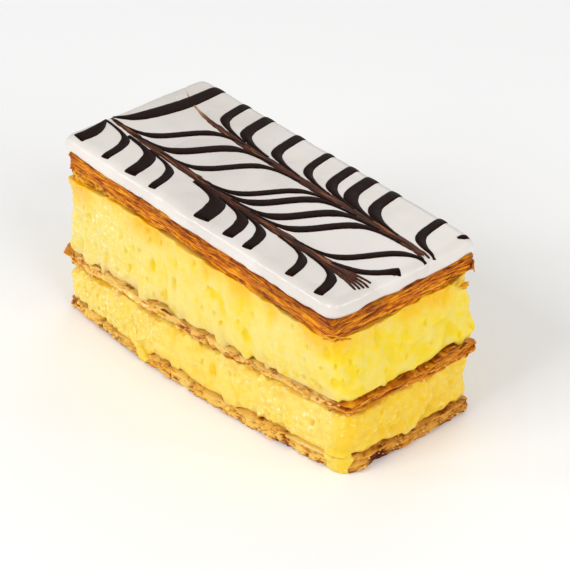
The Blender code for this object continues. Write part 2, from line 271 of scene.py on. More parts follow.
def pastry_group():
    """Baked leaves: their colour follows fine level lines and crumbs, deeper where they stand out less
    as painted shade in the recesses, with painted glints and scorched brown that is partly painted
    shade.
    """
    inputs = dict.fromkeys(("Relief", "Crumb", "Burnt_and_shaded", "Smeared"), "number")
    inputs.update(dict.fromkeys(("Deep", "Golden", "Light", "Crumb Colour"), "colour"))
    tree, given, out = new_group("baked leaves", inputs, FINISH_OUTPUTS)
    place = add(tree, "ShaderNodeTexCoord").outputs["Object"]
    lines = grain(tree, place, 1.0, 4.0, stretch=(90, 90, 1300))
    threads = grain(tree, place, 1.0, 3.0, stretch=(210, 210, 3600))
    patches = grain(tree, place, 1.0, 3.0, stretch=(200, 200, 560))
    specks = grain(tree, place, 1300, 1.0)
    relief = spread(tree, given["Relief"], -1.0, 1.0)
    fine = total(tree, times(tree, lines, 0.42), times(tree, threads, 0.28))
    # Lower relief deepens the colour: painted shade in the recesses
    tone_and_shade = total(tree, fine, times(tree, patches, 0.3), times(tree, relief, 0.28))
    colour = blend_colours(tree, spread(tree, tone_and_shade, 0.5, 0.63), given["Deep"], given["Golden"])
    colour = blend_colours(tree, spread(tree, tone_and_shade, 0.62, 0.76), colour, given["Light"])
    crumb_share = times(tree, given["Crumb"], spread(tree, tone_and_shade, 0.46, 0.68))
    colour = blend_colours(tree, crumb_share, colour, given["Crumb Colour"])
    # Scorched brown: real browning, and painted shade in the bottom sheet's hollow and under the icing
    colour = blend_colours(tree, given["Burnt_and_shaded"], colour, shade(*SCORCHED_AND_SHADED), way="MULTIPLY")
    # Painted glints: pale specks along the threads
    painted_glints = times(tree, spread(tree, threads, 0.64, 0.74), 0.55)
    colour = blend_colours(tree, painted_glints, colour, shade(*PAINTED_GLINT))
    colour = blend_colours(tree, given["Smeared"], colour, shade(*SMEARED_CUSTARD))
    tree.links.new(colour, out["Colour"])
    tree.links.new(spread(tree, specks, 0.42, 0.62, 0.6, 0.24), out["Roughness"])
    tree.links.new(times(tree, given["Smeared"], 0.7), out["Coat"])
    heights = [times(tree, lines, 0.5), times(tree, specks, 0.45), times(tree, threads, 0.4)]
    tree.links.new(total(tree, *heights), out["Height"])
    return tree


BAKED_LEAVES = pastry_group()


def new_material(name):
    """A fresh node material, with its tree and its Principled shader."""
    material = bpy.data.materials.new(name)
    material.use_nodes = True
    return material, material.node_tree, material.node_tree.nodes["Principled BSDF"]


def mark(tree, name):
    """A number that the mesh keeps for each of its points."""
    return add(tree, "ShaderNodeAttribute", attribute_name=name).outputs["Fac"]


def bumped(tree, shader, height, strength, depth):
    """Roughens the shader's surface by a height, to this depth in mm."""
    inputs = {"Height": height, "Strength": strength, "Distance": depth * MM}
    bump = add(tree, "ShaderNodeBump", inputs).outputs[0]
    tree.links.new(bump, shader.inputs["Normal"])
    return bump


def finish_from(group, tree, shader, marks, colours, strength, depth):
    """Feeds a finish group with the mesh's marks and these colours, and the shader with it."""
    inputs = {title.capitalize(): mark(tree, title) for title in marks}
    inputs.update(colours)
    finish = add(tree, "ShaderNodeGroup", inputs, node_tree=group).outputs
    tree.links.new(finish["Colour"], shader.inputs["Base Color"])
    tree.links.new(finish["Roughness"], shader.inputs["Roughness"])
    tree.links.new(finish["Coat"], shader.inputs["Coat Weight"])
    return bumped(tree, shader, finish["Height"], strength, depth)


def set_shader(shader, values):
    """Sets what is the same all over the piece."""
    for title, value in values.items():
        shader.inputs[title].default_value = value


CRUST_MARKS = ("relief", "crumb", "burnt_and_shaded", "smeared")


def pastry_material(name, deep, golden, light, crumb):
    """Dry baked pastry, from its deepest brown to its crumbs."""
    material, tree, shader = new_material(name)
    colours = {
        "Deep": shade(*deep),
        "Golden": shade(*golden),
        "Light": shade(*light),
        "Crumb Colour": shade(*crumb),
    }
    finish_from(BAKED_LEAVES, tree, shader, CRUST_MARKS, colours, 0.7, 0.25)
    set_shader(shader, {
        "Specular IOR Level": 0.16,
        "Subsurface Weight": 0.06,
        "Subsurface Radius": (1.0, 0.45, 0.12),
        "Subsurface Scale": 1.2 * MM,
    })
    return material


def bottom_side(point):
    """The bottom sheet's cut: crumbs on the long sides, and leaves too on the end."""
    at_end = eased_share(point.x, 48, 55)
    crumbs = 0.9 - 0.45 * at_end
    relief = crumbs * crumbly(point, 4.0) + (1 - crumbs) * leafy(point, BOTTOM_LEAF, 11.0)
    hollow = hill((point.y - HOLLOW_Y) / 3.4, (point.z - HOLLOW_Z) / 1.7) * at_end
    foot = 1 - eased_share(point.z, 0.0, 1.3)
    patchy = wave_at(point, 0.16, 31.0)
    smeared = eased_share(patchy + 0.1 * point.z - 0.3 * relief, 0.42, 0.7) * (1 - at_end)
    at_corner = hill((point.x - CORNER_X) / 4.5, (point.y - CORNER_Y) / 5.0)
    smeared = max(smeared, eased_share(at_corner - 0.1 * relief, 0.25, 0.6))
    amount = (0.75 - 0.4 * smeared) * relief - 0.2 - 1.8 * hollow - 0.35 * foot - 2.3 * at_corner
    # Painted shade darkens the hollow under the end; the foot and the end are darker too
    scorched_and_shaded = max(hollow * 1.6, 0.65 * foot * (1 - smeared), 0.15 * at_end)
    return amount, 0.0, relief - 0.4 * foot, crumbs, min(scorched_and_shaded, 1.0), 0.85 * smeared


bottom_crust = pastry_material(
    "bottom crust",
    deep=(140, 66, 0),
    golden=(210, 126, 4),
    light=(236, 170, 34),
    crumb=(240, 196, 92),
)
bm, still = layer_copy("pastry_bottom", BOTTOM_DIVISIONS)
shape_sides(bm, still, CRUST_MARKS, bottom_side)
bottom_sheet = finished("bottom_pastry_sheet", bm, bottom_crust, "crust", "pastry_bottom")

# Lower layer of custard: set custard cream, moist and a little translucent, spread on the bottom
# sheet and pressed out by the sheet above. The knife dragged it and opened its air bubbles.
LOWER_CREAM_DIVISIONS = 7
RELAX_ROUNDS = 40
# The colour of painted glints on the moist custard
PAINTED_WET_GLINT = (255, 248, 206)
# Where the smooth stretch of the long side is, and its reach along it
SMOOTH_X, SMOOTH_REACH = 4.0, 22.0


def skin_of(mesh):
    """The mesh's faces as a tree that finds what is nearest, or what a ray meets first."""
    places = [v.co for v in mesh.vertices]
    return BVHTree.FromPolygons(places, [tuple(p.vertices) for p in mesh.polygons])


def nearness(node_name):
    """A function that says how near a point is to a CAD node, 1 on it and 0 far off."""
    skin = skin_of(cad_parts[node_name].data)

    def near(point, reach):
        return hill(skin.find_nearest(point * MM)[3] / MM / reach)

    return near


def custard_side(point, drag, blister, seed):
    """How far the custard stands out, and how much of an open bubble it is at this point."""
    at_end = eased_share(point.x, 50, 55)
    pull = drag * (1 - 0.75 * at_end)
    lean = point.z * 0.02
    broad = wave(point.x * 0.1 + lean, point.y * 0.1, point.z * 0.025 + seed)
    dragged = wave(point.x * 0.36 + lean, point.y * 0.36, point.z * 0.04 + seed)
    lumps = wave_at(point, 0.14, point.z * 0.17 + seed)
    dents = wave_at(point, 0.3, point.z * 0.3 + seed)
    bumps = wave(point.x * 0.7 + seed, point.y * 0.7, point.z * 0.6)
    near_hollow, own = cell_depth(point.x * 0.21 + seed, point.y * 0.21, point.z * 0.11)
    hollow = (1 - eased_share(near_hollow, 0.12, 0.34)) * eased_share(own, 0.35, 0.6)
    near_bubble, own = cell_depth(point.x * 0.46 + seed, point.y * 0.46, point.z * 0.24)
    bubble = (1 - eased_share(near_bubble, 0.12, 0.28)) * eased_share(own, 0.6, 0.7)
    relief = pull * (0.5 * broad + 0.6 * dragged) + 0.6 * lumps + (0.3 + 0.55 * at_end) * dents
    blisters = blister * (1 - 0.6 * at_end) * bumps
    amount = relief + blisters - (0.4 + 0.4 * pull) * hollow - 0.7 * bubble
    return amount, min(0.75 * hollow + bubble, 1.0)


def custard_group():
    """Custard: pale where it is dragged thin, richer at random, and richer still in its bubbles, hollows
    and pits and on the end as painted shade; amber by the sheets as painted warm shade; painted glints
    where it is wet.
    """
    inputs = dict.fromkeys(("Bubble", "Amber_shade", "Smear", "Relief", "Wet_and_glints"), "number")
    inputs.update(dict.fromkeys(("Pale", "Rich", "Amber Colour", "Smear Colour"), "colour"))
    tree, given, out = new_group("set custard", inputs, FINISH_OUTPUTS)
    place = add(tree, "ShaderNodeTexCoord").outputs["Object"]
    clouds = grain(tree, place, 110, 3.0)
    mottle = grain(tree, place, 380, 3.0)
    pimples = grain(tree, place, 720, 2.0)
    along = add(tree, "ShaderNodeSeparateXYZ", {0: place}).outputs["X"]
    # The end is given a richer yellow: painted shade on the side that takes less light
    at_end = spread(tree, along, 49 * MM, 56 * MM)
    cloudy = spread(tree, clouds, 0.4, 0.65, -0.1, 0.3)
    mottled = spread(tree, mottle, 0.42, 0.66, -0.08, 0.45)
    # Richer where the surface sinks and in the bubbles: painted shade in hollows
    hollow_shade = spread(tree, given["Relief"], 0.1, -0.9, 0, 0.6)
    bubble_shade = times(tree, given["Bubble"], 0.6)
    richness_and_shade = total(tree, times(tree, at_end, 0.5), cloudy, mottled, hollow_shade, bubble_shade)
    richness_and_shade = number(tree, "MINIMUM", number(tree, "MAXIMUM", richness_and_shade, 0.0), 1.0)
    # Richer in the pits between pimples: painted shade
    pit_shade = times(tree, spread(tree, pimples, 0.42, 0.34), given["Wet_and_glints"])
    richness_and_shade = number(tree, "MAXIMUM", richness_and_shade, times(tree, pit_shade, 0.8))
    colour = blend_colours(tree, richness_and_shade, given["Pale"], given["Rich"])
    # Painted glints: pale specks on the wet parts
    painted_glints = times(tree, spread(tree, pimples, 0.58, 0.7), given["Wet_and_glints"])
    colour = blend_colours(tree, times(tree, painted_glints, 0.65), colour, shade(*PAINTED_WET_GLINT))
    colour = blend_colours(tree, given["Smear"], colour, given["Smear Colour"])
    # Painted amber shade by the sheets
    colour = blend_colours(tree, given["Amber_shade"], colour, given["Amber Colour"])
    tree.links.new(colour, out["Colour"])
    tree.links.new(spread(tree, mottle, 0.35, 0.7, 0.46, 0.3), out["Roughness"])
    wetness = times(tree, given["Wet_and_glints"], spread(tree, mottle, 0.4, 0.6, 0.2, 1.0))
    tree.links.new(total(tree, wetness, spread(tree, clouds, 0.5, 0.7, 0.0, 0.25)), out["Coat"])
    pimply = times(tree, times(tree, pimples, given["Wet_and_glints"]), 0.8)
    tree.links.new(total(tree, times(tree, mottle, 0.5), pimply), out["Height"])
    return tree


SET_CUSTARD = custard_group()
CUSTARD_MARKS = ("relief", "bubble", "amber_shade", "smear", "wet_and_glints")


def custard_material(name, pale, rich, amber_shade, smear):
    """Moist custard, which light enters a little way."""
    material, tree, shader = new_material(name)
    colours = {
        "Pale": shade(*pale),
        "Rich": shade(*rich),
        "Amber Colour": shade(*amber_shade),
        "Smear Colour": shade(*smear),
    }
    bump = finish_from(SET_CUSTARD, tree, shader, CUSTARD_MARKS, colours, 0.6, 0.4)
    tree.links.new(bump, shader.inputs["Coat Normal"])
    set_shader(shader, {
        "Specular IOR Level": 0.25,
        "Coat Roughness": 0.1,
        "Subsurface Weight": 0.35,
        "Subsurface Radius": (1.0, 0.7, 0.2),
        "Subsurface Scale": 2.5 * MM,
    })
    return material


near_bottom_sheet = nearness("pastry_bottom")
near_middle_sheet = nearness("pastry_middle")


def lower_custard_side(point):
    """The lower custard's cut, smooth in the middle and blistered towards both ends."""
    smooth = hill((point.x - SMOOTH_X) / SMOOTH_REACH)
    blistered = wave_at(point, 0.09, point.z * 0.15 + 41) + 0.3 - 0.75 * smooth
    blistered = eased_share(blistered, -0.25, 0.25)
    amount, bubble = custard_side(point, 0.45, 0.2 + 0.5 * blistered, 23.0)
    patchy = eased_share(wave_at(point, 0.2, point.z * 0.2 + 5), -0.3, 0.5)
    near_above, near_below = near_middle_sheet(point, 2.0), near_bottom_sheet(point, 2.0)
    # Amber beside the sheets above and below is painted warm shade
    amber_shade = 0.5 * patchy * near_above + 0.45 * patchy * near_below
    smear = 0.45 * (1 - patchy) * near_below
    tongue = eased_share(wave_at(point, 0.28, 17.0), 0.0, 0.45)
    below_tongue = eased_share(wave_at(point, 0.22, 27.0), 0.05, 0.4)
    at_corner = hill((point.x - CORNER_X) / 4.0, (point.y - CORNER_Y) / 5.0)
    spill = at_corner * near_bottom_sheet(point, 4.0)
    relief = amount + 0.3
    swollen = 0.7 * tongue * near_above + 0.6 * below_tongue * near_below + 0.35 * near_above
    amount += swollen + 0.2 + 0.8 * spill
    lift = 1.9 * tongue * near_above - 1.6 * below_tongue * near_below - 2.0 * spill
    at_end = eased_share(point.x, 50, 55)
    # The wet mark sets gloss, and also where painted glints fall
    wet_and_glints = (0.12 + 0.88 * blistered) * (1 - 0.5 * at_end)
    # More bubble mark on the end deepens its colour as painted shade
    return amount, lift, relief, min(bubble + 0.3 * at_end, 1.0), amber_shade, smear, wet_and_glints


custard_below = custard_material(
    "lower custard",
    pale=(236, 211, 98),
    rich=(236, 194, 0),
    amber_shade=(226, 156, 0),
    smear=(222, 180, 110),
)
bm, still = layer_copy("cream_lower", LOWER_CREAM_DIVISIONS)
relax(bm, still, RELAX_ROUNDS)
shape_sides(bm, still, CUSTARD_MARKS, lower_custard_side)
lower_custard = finished("lower_custard", bm, custard_below, "cream", "cream_lower")

# Middle sheet of puff pastry: thin and broken, laid on the lower custard and half buried in it.
# Its long cut sides are crumbs smeared with custard, and its end is still a band of leaves.
MIDDLE_DIVISIONS = 7
MIDDLE_LEAF = 0.8

near_upper_custard = nearness("cream_upper")


def middle_side(point):
    """The middle sheet's cut: smeared crumbs on the long sides and leaves on the end."""
    at_end = eased_share(point.x, 49, 55)
    crumbs = 0.85 - 0.8 * at_end
    relief = crumbs * crumbly(point, 9.0) + (1 - crumbs) * leafy(point, MIDDLE_LEAF, 37.0)
    patchy = wave_at(point, 0.13, point.z * 0.25 + 14.0)
    smeared = eased_share(patchy - 0.35 * relief, -0.15, 0.3) * (1 - at_end)
    rim = near_upper_custard(point, 0.9) * eased_share(wave_at(point, 0.2, 2.0), -0.3, 0.2)
    burnt_and_shaded = max(0.75 * rim, 0.12 * at_end)
    amount = (0.8 - 0.4 * smeared - 0.2 * (1 - at_end)) * relief - 0.6 * (1 - at_end)
    return amount, 0.0, relief, crumbs, burnt_and_shaded, 0.8 * smeared


middle_crust = pastry_material(
    "middle crust",
    deep=(152, 70, 0),
    golden=(214, 124, 0),
    light=(238, 166, 26),
    crumb=(244, 206, 112),
)
bm, still = layer_copy("pastry_middle", MIDDLE_DIVISIONS)
shape_sides(bm, still, CRUST_MARKS, middle_side)
middle_sheet = finished("middle_pastry_sheet", bm, middle_crust, "crust", "pastry_middle")

# Upper layer of custard: the thick one, cut clean so that its long side shows the knife's upright
# drags and opened bubbles. Its upper edge under the top sheet is painted amber as warm shade.
UPPER_CREAM_DIVISIONS = 8
# The two long fingers that the knife dragged down beside the near right corner: X and half breadth
FINGERS = ((38.5, 4.6), (48.0, 3.6))
FINGER_FOOT_Z = 25.5
# Where it bulges over the middle sheet at the far right corner
BULGE_Y, BULGE_Z = 23.5, 27.5

near_top_sheet = nearness("pastry_top")


def upper_custard_side(point):
    """The upper custard's cut, with its fingers, its bulge and its lap over the top sheet's foot."""
    at_left = 1 - eased_share(point.x, -38, -8)
    amount, bubble = custard_side(point, 1.0, 0.08 + 0.3 * at_left, 53.0)
    patchy = eased_share(wave_at(point, 0.11, point.z * 0.1 + 8), -0.3, 0.3)
    # Amber under the top sheet is painted warm shade
    amber_shade = (0.4 + 0.7 * patchy) * near_top_sheet(point, 3.2 + 1.6 * patchy)
    beige = eased_share(wave_at(point, 0.12, point.z * 0.12 + 3), -0.2, 0.4)
    at_end = eased_share(point.x, 48, 54)
    near_below = near_middle_sheet(point, 3.4)
    smear = (0.3 + 0.55 * beige) * near_below * (1 - at_end)
    fingers = 0.0
    for middle_x, wide in FINGERS:
        above_foot = eased_share(point.z, FINGER_FOOT_Z, FINGER_FOOT_Z + 2.5)
        fingers += hill(((point.x - middle_x) / wide) ** 2) * above_foot
    amount += 0.55 * fingers * (1 - eased_share(point.y, -21, -18))
    tongue = eased_share(wave_at(point, 0.22, 7.0), 0.05, 0.45)
    bulge = at_end * hill((point.y - BULGE_Y) / 4.0, (point.z - BULGE_Z) / 2.8)
    relief = amount
    # Wet at the left: gloss there, and painted glints
    wet_and_glints = 0.15 + 0.65 * at_left
    lap = near_top_sheet(point, 2.0)
    amount += 0.3 + 0.6 * tongue * near_below + 2.1 * near_top_sheet(point, 1.3) + 1.3 * bulge
    lift = (1.2 + 0.9 * patchy) * lap - 1.8 * tongue * near_below
    return amount, lift, relief, bubble, min(amber_shade, 1.0), smear, wet_and_glints


custard_above = custard_material(
    "upper custard",
    pale=(232, 213, 116),
    rich=(238, 208, 4),
    amber_shade=(240, 184, 0),
    smear=(216, 172, 120),
)
bm, still = layer_copy("cream_upper", UPPER_CREAM_DIVISIONS)
relax(bm, still, RELAX_ROUNDS)
shape_sides(bm, still, CUSTARD_MARKS, upper_custard_side)
finished("upper_custard", bm, custard_above, "cream", "cream_upper")

# Top sheet of puff pastry: the crispest and deepest in colour, with its fine leaves showing all
# round. It lies on the upper custard and carries the icing.
TOP_DIVISIONS = 8
TOP_LEAF = 0.7
# Where the custard laps over its foot, and where painted shade darkens it under the icing
LAPPED_Z, SHADED_FROM_Z = 45.2, 48.0


def top_side(point):
    """The top sheet's cut: fine leaves, worn to crumbs low down at the left."""
    worn_end = (1 - eased_share(point.x, -45, 5)) * (1 - eased_share(point.z, 43.5, 47.0))
    crumbs = 0.06 + 0.7 * worn_end
    relief = crumbs * crumbly(point, 2.0) + (1 - crumbs) * leafy(point, TOP_LEAF, 71.0)
    # Darker towards the icing as painted shade under it, and toasted in random patches
    height = point.z + 1.2 * wave_at(point, 0.15, 3.0)
    toasted_and_shaded = 0.35 * eased_share(height, SHADED_FROM_Z, SHADED_FROM_Z + 3.5)
    toasted_and_shaded += 0.3 * eased_share(wave_at(point, 0.1, point.z * 0.4), 0.0, 0.4)
    lapped = 1 - eased_share(point.z, LAPPED_Z, LAPPED_Z + 1.4)
    return 0.5 * relief - 0.1 - 0.5 * lapped, 0.0, relief, crumbs, toasted_and_shaded, 0.0


top_crust = pastry_material(
    "top crust",
    deep=(126, 46, 0),
    golden=(202, 106, 0),
    light=(240, 164, 10),
    crumb=(240, 188, 54),
)
bm, still = layer_copy("pastry_top", TOP_DIVISIONS)
shape_sides(bm, still, CRUST_MARKS, top_side)
top_sheet = finished("top_pastry_sheet", bm, top_crust, "crust", "pastry_top")

# White icing: fondant poured warm over the top sheet, where it levelled itself, rounded over the
# edges and set with a soft shine. Its foot follows the uneven pastry.
ICING_CUT_Z = 53.4
ICING_TOP_Z = 55.6
ICING_ROUNDING = 3.2
ICING_ROUNDING_STEPS = 9
ICING_VOXEL = 0.55
# Between these heights its side turns into its top, and below this one its foot is tinted tan
ICING_SIDE_Z, ICING_CROWN_Z = 52.6, 54.2
ICING_FOOT_Z = 50.9


def applied(piece):
    """Makes the piece's modifiers part of its mesh."""
    graph = bpy.context.evaluated_depsgraph_get()
    mesh = bpy.data.meshes.new_from_object(piece.evaluated_get(graph))
    piece.modifiers.clear()
    piece.data = mesh


def icing_material():
    """Set fondant: clouded white with a soft shine, and tan where it meets the pastry."""
    material, tree, shader = new_material("icing")
    place = add(tree, "ShaderNodeTexCoord").outputs["Object"]
    clouds = grain(tree, place, 45, 2.0)
    fine = grain(tree, place, 380, 3.0)
    height = add(tree, "ShaderNodeSeparateXYZ", {0: place}).outputs["Z"]
    ragged = total(tree, height, times(tree, fine, 1.2 * MM))
    foot = spread(tree, ragged, (ICING_FOOT_Z + 0.8) * MM, ICING_FOOT_Z * MM)
    cloudy = spread(tree, clouds, 0.35, 0.65)
    white = blend_colours(tree, cloudy, shade(216, 209, 202), shade(226, 220, 213))
    white = blend_colours(tree, times(tree, foot, 0.6), white, shade(226, 178, 110))
    tree.links.new(white, shader.inputs["Base Color"])
    tree.links.new(spread(tree, clouds, 0.3, 0.7, 0.24, 0.38), shader.inputs["Roughness"])
    bumped(tree, shader, total(tree, clouds, times(tree, fine, 0.1)), 0.35, 0.8)
    set_shader(shader, {
        "Coat Weight": 0.15,
        "Coat Roughness": 0.18,
        "Subsurface Weight": 0.2,
        "Subsurface Radius": (1.0, 0.85, 0.7),
        "Subsurface Scale": 1.6 * MM,
    })
    return material


bm = merged_copy("icing")
everything = bm.verts[:] + bm.edges[:] + bm.faces[:]
cut_height = Vector((0, 0, ICING_CUT_Z * MM))
bmesh.ops.bisect_plane(
    bm, geom=everything, plane_co=cut_height, plane_no=(0, 0, 1), clear_outer=True
)
rim = [e for e in bm.edges if e.is_boundary]
went_in, went_up = 0.0, 0.0
for step in range(1, ICING_ROUNDING_STEPS + 1):
    turn = math.pi / 2 * step / ICING_ROUNDING_STEPS
    in_now = ICING_ROUNDING * (1 - math.cos(turn))
    up_now = (ICING_TOP_Z - ICING_CUT_Z) * math.sin(turn)
    raised = bmesh.ops.extrude_edge_only(bm, edges=rim)["geom"]
    for vert in [g for g in raised if isinstance(g, bmesh.types.BMVert)]:
        inward = -outward_at(vert.co / MM)
        vert.co += inward * ((in_now - went_in) * MM)
        vert.co.z += (up_now - went_up) * MM
    rim = [g for g in raised if isinstance(g, bmesh.types.BMEdge)]
    went_in, went_up = in_now, up_now
bmesh.ops.holes_fill(bm, edges=rim, sides=0)
bmesh.ops.recalc_face_normals(bm, faces=bm.faces)
icing = finished("icing_slab", bm, icing_material(), "sugar", "icing")
icing.modifiers.new("even mesh", "REMESH").voxel_size = ICING_VOXEL * MM
softened = icing.modifiers.new("softened", "SMOOTH")
softened.factor, softened.iterations = 0.5, 6
applied(icing)
for vert in icing.data.vertices:
    point = vert.co / MM
    outward = outward_at(point)
    swell = 0.28 * wave_at(point, 0.12, 4.0) + 0.12 * wave_at(point, 0.35, 6.0)
    below = 1 - eased_share(point.z, ICING_SIDE_Z, ICING_CROWN_Z)
    vert.co += outward * ((swell + 0.35 * below) * MM)
    vert.co.z += below * (0.35 * wave_at(point, 0.3, 9.0) - 0.9) * MM
    vert.co.z += (1 - below) * 0.09 * wave_at(point, 0.07, 2.0) * MM
icing.data.polygons.foreach_set("use_smooth", [True] * len(icing.data.polygons))

# Chocolate lines: melted dark chocolate piped across the wet icing in straight lines, then drawn
# out by the point of a skewer. They set a little proud of the icing, nearly black, with a dull shine.
LINE_HEIGHT = 0.42
LINE_ROOT = 0.35
LINE_SPREAD = 1.2
STATIONS = 34
ACROSS = 8
# Places on the icing are measured from the middle of the straight-cut block, which lies this far
# from the middle of the slice with its waves and loose flakes
SHIFT_X, SHIFT_Y = -0.072, 0.594
# Where each line is at the far edge, the middle and the near edge, with its breadth there
PIPED_LINES = [
    (-36.2, 3.1, -35.0, 2.8, -39.3, 2.7),
    (-26.4, 3.7, -24.2, 3.4, -28.2, 4.1),
    (-13.2, 3.3, -12.2, 2.7, -18.7, 2.7),
    (-0.8, 2.6, 4.8, 2.5, 2.0, 5.2),
    (8.8, 3.2, 10.6, 3.1, 12.9, 3.6),
    (16.3, 4.0, 19.6, 3.3, 20.6, 3.1),
    (25.6, 3.5, 27.6, 3.0, 37.3, 2.7),
    (43.4, 2.8, 45.4, 2.6, 48.5, 2.9),
]
# How sharply each far hook turns as it reaches the spine, in mm
FAR_TURNS = [1.15, 1.2, 1.25, 1.5, 1.5, 1.6, 1.6, 1.5]
# The lines at the two ends ran off the edge or broke up, so each has its own X, Y and breadths
FIRST_LINE = [
    (-48.2, 25.2, 4.0),
    (-47.8, 17.7, 4.6),
    (-47.8, 11.5, 5.0),
    (-48.5, 6.0, 5.0),
    (-49.6, 0.7, 4.7),
    (-51.0, -3.5, 3.8),
    (-53.0, -6.4, 2.1),
    (-55.4, -8.4, 0.9),
]
FIRST_HOOK = [
    (-52.3, -23.0, 4.3),
    (-52.1, -20.4, 4.5),
    (-52.3, -17.8, 4.4),
    (-53.2, -15.0, 3.6),
    (-54.6, -12.4, 2.0),
    (-55.8, -10.6, 0.8),
]
LAST_LINE = [
    (40.5, -11.7, 1.4),
    (44.4, -10.7, 2.0),
    (48.4, -8.9, 2.3),
    (51.4, -6.0, 2.4),
    (53.2, -2.8, 2.4),
    (54.3, -0.8, 2.5),
]
LAST_PRONG = [(52.6, -4.4, 1.3), (53.7, -3.4, 1.1), (54.6, -2.6, 0.9)]
CORNER_DAB = [(53.3, 23.9, 1.5), (53.1, 22.9, 1.8), (52.9, 21.9, 1.7), (52.6, 20.7, 0.9)]
# Where the lines start, and how far the skewer pulled them along as it came this close
FAR_EDGE_Y, NEAR_EDGE_Y = 25.2, -23.7
SKEWER_PULL = 14.5
FAR_PULL = 13.5
CLOSEST = 0.9
# Nothing piped reaches past these edges of the icing's top
EDGE_X, EDGE_NEAR_Y, EDGE_FAR_Y = 56.1, -24.2, 25.2
ABOVE_ALL_Z = 70


def far_spine_y(x):
    """How the far stroke of the skewer runs along the icing."""
    return 8.7 + 8.0 * math.exp(-(x + 54.0) / 12.0)


def near_spine_y(x):
    """The same for the near stroke."""
    return -12.0 - 0.033 * x + 0.00034 * x * x


def closing_in(start, end):
    """Values from start to end that crowd together towards the end."""
    turns = [math.pi / 2 * i / (STATIONS - 1) for i in range(STATIONS)]
    return [start + (end - start) * math.sin(turn) ** 1.3 for turn in turns]


def thinned(away):
    """The share of its breadth that a line keeps this close to a spine."""
    return 0.3 + 0.7 * eased_share(away, CLOSEST, 4.6)


def far_hook(x_edge, breadth, turn):
    """A line from the far edge, kinked along +X as it nears the far spine."""
    spine_at = far_spine_y(x_edge)
    reach = FAR_EDGE_Y - spine_at
    stations = []
    for away in closing_in(reach, CLOSEST):
        drawn = FAR_PULL * math.exp((CLOSEST - away) / turn)
        x = x_edge + 0.17 * (reach - away) + drawn
        stations.append((x, far_spine_y(x) + away, breadth * thinned(away)))
    return stations


def near_hook(x_edge, breadth):
    """A line from the near edge, dragged along -X as it nears the near spine."""
    spine_at = near_spine_y(x_edge)
    reach = spine_at - NEAR_EDGE_Y
    stations = []
    for away in closing_in(reach, CLOSEST):
        drawn = SKEWER_PULL * (1 / away - 1 / reach)
        x = x_edge - 0.05 * (reach - away) - drawn
        stations.append((x, spine_at - away, breadth * thinned(away)))
    return stations


def between_spines(x_middle, breadth):
    """A line from the near spine to the far one, dragged +X at one and -X at the other."""
    far, near = far_spine_y(x_middle), near_spine_y(x_middle)
    down, up = closing_in(0.0, near + CLOSEST), closing_in(0.0, far - CLOSEST)
    stations = []
    for y in down[:0:-1] + up:
        drawn = SKEWER_PULL * (1 / (far - y) - 1 / far - 1 / (y - near) - 1 / near)
        kept = min(thinned(far - y), thinned(y - near))
        stations.append((x_middle + 0.3 * y + drawn, y, breadth * kept))
    return stations


def drawn_through(points):
    """A smooth run of stations through a few points, each with its breadth."""
    ends = [points[0]] + points + [points[-1]]
    stations = []
    for i in range(len(points) - 1):
        a, b, c, d = (Vector(p) for p in ends[i : i + 4])
        for k in range(8):
            t = k / 8
            curve = 2 * b + (c - a) * t
            curve += (2 * a - 5 * b + 4 * c - d) * t**2 + (3 * b - a - 3 * c + d) * t**3
            stations.append(tuple(curve / 2))
    return stations + [points[-1]]


icing_skin = skin_of(icing.data)


def on_icing(x, y, lift):
    """The point this far above the icing, found by looking straight down on it."""
    at_x = min(max(x, -EDGE_X), EDGE_X) + SHIFT_X
    at_y = min(max(y, EDGE_NEAR_Y), EDGE_FAR_Y) + SHIFT_Y
    hit = icing_skin.ray_cast(Vector((at_x, at_y, ABOVE_ALL_Z)) * MM, Vector((0, 0, -1)))[0]
    height = hit.z / MM if hit else ICING_CUT_Z
    return Vector((at_x, at_y, height + lift)) * MM


def faces_of(verts):
    """The faces that these points belong to, in the same order each run."""
    return list(dict.fromkeys(f for v in verts for f in v.link_faces))


def backed(bm, front):
    """Closes a sheet behind, and gives the points of its back."""
    behind = bmesh.ops.extrude_face_region(bm, geom=faces_of(front))["geom"]
    return [g for g in behind if isinstance(g, bmesh.types.BMVert)]


def lay_strip(bm, stations, rise, blunt_start=True, blunt_end=False):
    """A strip of chocolate on the icing, crowned across its breadth and closed underneath."""
    kept = [s for s in stations if abs(s[0]) <= EDGE_X]
    lengths = [0.0]
    for before, after in zip(kept, kept[1:]):
        lengths.append(lengths[-1] + math.hypot(after[0] - before[0], after[1] - before[1]))
    layers = bm.verts.layers.float
    made = bmesh.ops.create_grid(bm, x_segments=len(kept) - 1, y_segments=ACROSS, size=0.5)["verts"]
    for vert in made:
        i = round((vert.co.x + 0.5) * (len(kept) - 1))
        across = vert.co.y + 0.5
        x, y, breadth = kept[i]
        breadth *= LINE_SPREAD
        before, after = kept[max(i - 1, 0)], kept[min(i + 1, len(kept) - 1)]
        heading = Vector((after[0] - before[0], after[1] - before[1])).normalized()
        side = Vector((-heading.y, heading.x)) * (breadth * (across - 0.5))
        side += side.normalized() * 0.08 * wave(lengths[i] * 0.6 + x, across * 2, y)
        ends = eased_share(lengths[i], -0.2, 0.5) if blunt_start else 1.0
        if blunt_end:
            ends *= eased_share(lengths[-1] - lengths[i], -0.2, 0.5)
        crown = math.sin(math.pi * min(max(across, 0.0), 1.0)) ** 0.5
        vert.co = on_icing(x + side.x, y + side.y, rise * crown * ends - 0.12)
        vert[layers["across"]] = across
        vert[layers["along"]] = lengths[i]
    bmesh.ops.translate(bm, verts=backed(bm, made), vec=(0, 0, -LINE_ROOT * MM))


